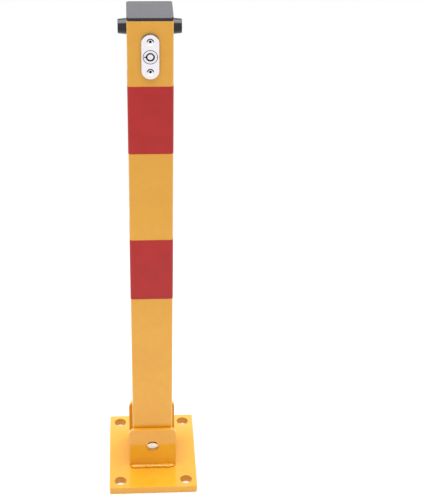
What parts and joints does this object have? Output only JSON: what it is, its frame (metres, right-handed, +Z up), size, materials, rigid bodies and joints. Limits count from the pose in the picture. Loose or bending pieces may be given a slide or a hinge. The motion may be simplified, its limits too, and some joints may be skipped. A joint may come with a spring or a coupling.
{
  "type": "fold-down parking bollard",
  "caption": "Square fold-down parking bollard: reflective banded post hinged between two ears on a bolted base plate, with a key lock near the top.",
  "frame": {"origin": "centre of the underside of the base plate, where it meets the ground", "axes": "+Z up along the upright post; -Y is the front with the lock; the post folds down towards +X or -X"},
  "size_m": [0.11, 0.144, 0.6163],
  "materials": {
    "yellow_powder_coat": "semi-gloss powder coat with a fine orange peel",
    "red_reflective_film": "adhesive reflective film, satin",
    "black_moulded_plastic": "moulded, smooth satin",
    "black_rubber": "moulded, matt",
    "zinc_plated_steel": "bright zinc plating",
    "bare_steel": "turned, lightly oiled",
    "satin_chrome": "satin chrome plating",
    "bright_chrome": "bright chrome plating",
    "brass_pins": "turned",
    "natural_nylon": "moulded, natural"
  },
  "bodies": {
    "base": {"base_plate": "yellow_powder_coat", "front_ear": "yellow_powder_coat", "rear_ear": "yellow_powder_coat", "front_weld": "yellow_powder_coat", "rear_weld": "yellow_powder_coat"},
    "post": {"post_tube": "yellow_powder_coat", "upper_red_band": "red_reflective_film", "lower_red_band": "red_reflective_film", "top_cap": "black_moulded_plastic", "left_bumper": "black_rubber", "right_bumper": "black_rubber", "bumper_washers": "zinc_plated_steel", "bumper_screws": "zinc_plated_steel", "bumper_nuts": "zinc_plated_steel", "pivot_pin": "zinc_plated_steel", "front_bush": "bare_steel", "rear_bush": "bare_steel", "pivot_roll_pins": "bare_steel", "escutcheon": "satin_chrome", "escutcheon_screws": "satin_chrome", "escutcheon_nuts": "zinc_plated_steel", "lock_barrel": "bright_chrome", "lock_nut": "zinc_plated_steel", "lower_bar_guide": "natural_nylon", "upper_bar_guide": "natural_nylon"},
    "lock_core": {"lock_plug": "bright_chrome", "lock_tumblers": "brass_pins", "crank": "zinc_plated_steel", "crank_pin": "bare_steel", "crank_screw": "zinc_plated_steel"},
    "bar": {"locking_bar": "zinc_plated_steel"}
  },
  "joints": [
    {"name": "post_fold", "type": "hinge", "parent": "base", "child": "post", "pos_m": [0, 0, 0.0405], "axis": [0, 1, 0], "range_deg": [-90.6, 90.6]},
    {"name": "key_turn", "type": "hinge", "parent": "post", "child": "lock_core", "pos_m": [0, -0.0275, 0.5729], "axis": [0, 1, 0], "range_deg": [0, 90]},
    {"name": "bar_slide", "type": "slide", "parent": "post", "child": "bar", "axis": [0, 0, 1], "range_m": [-0.01273, 0]}
  ],
  "couplings": [
    {"joint": "key_turn", "follows": "bar_slide", "rad_per_m": -123.41}
  ]
}
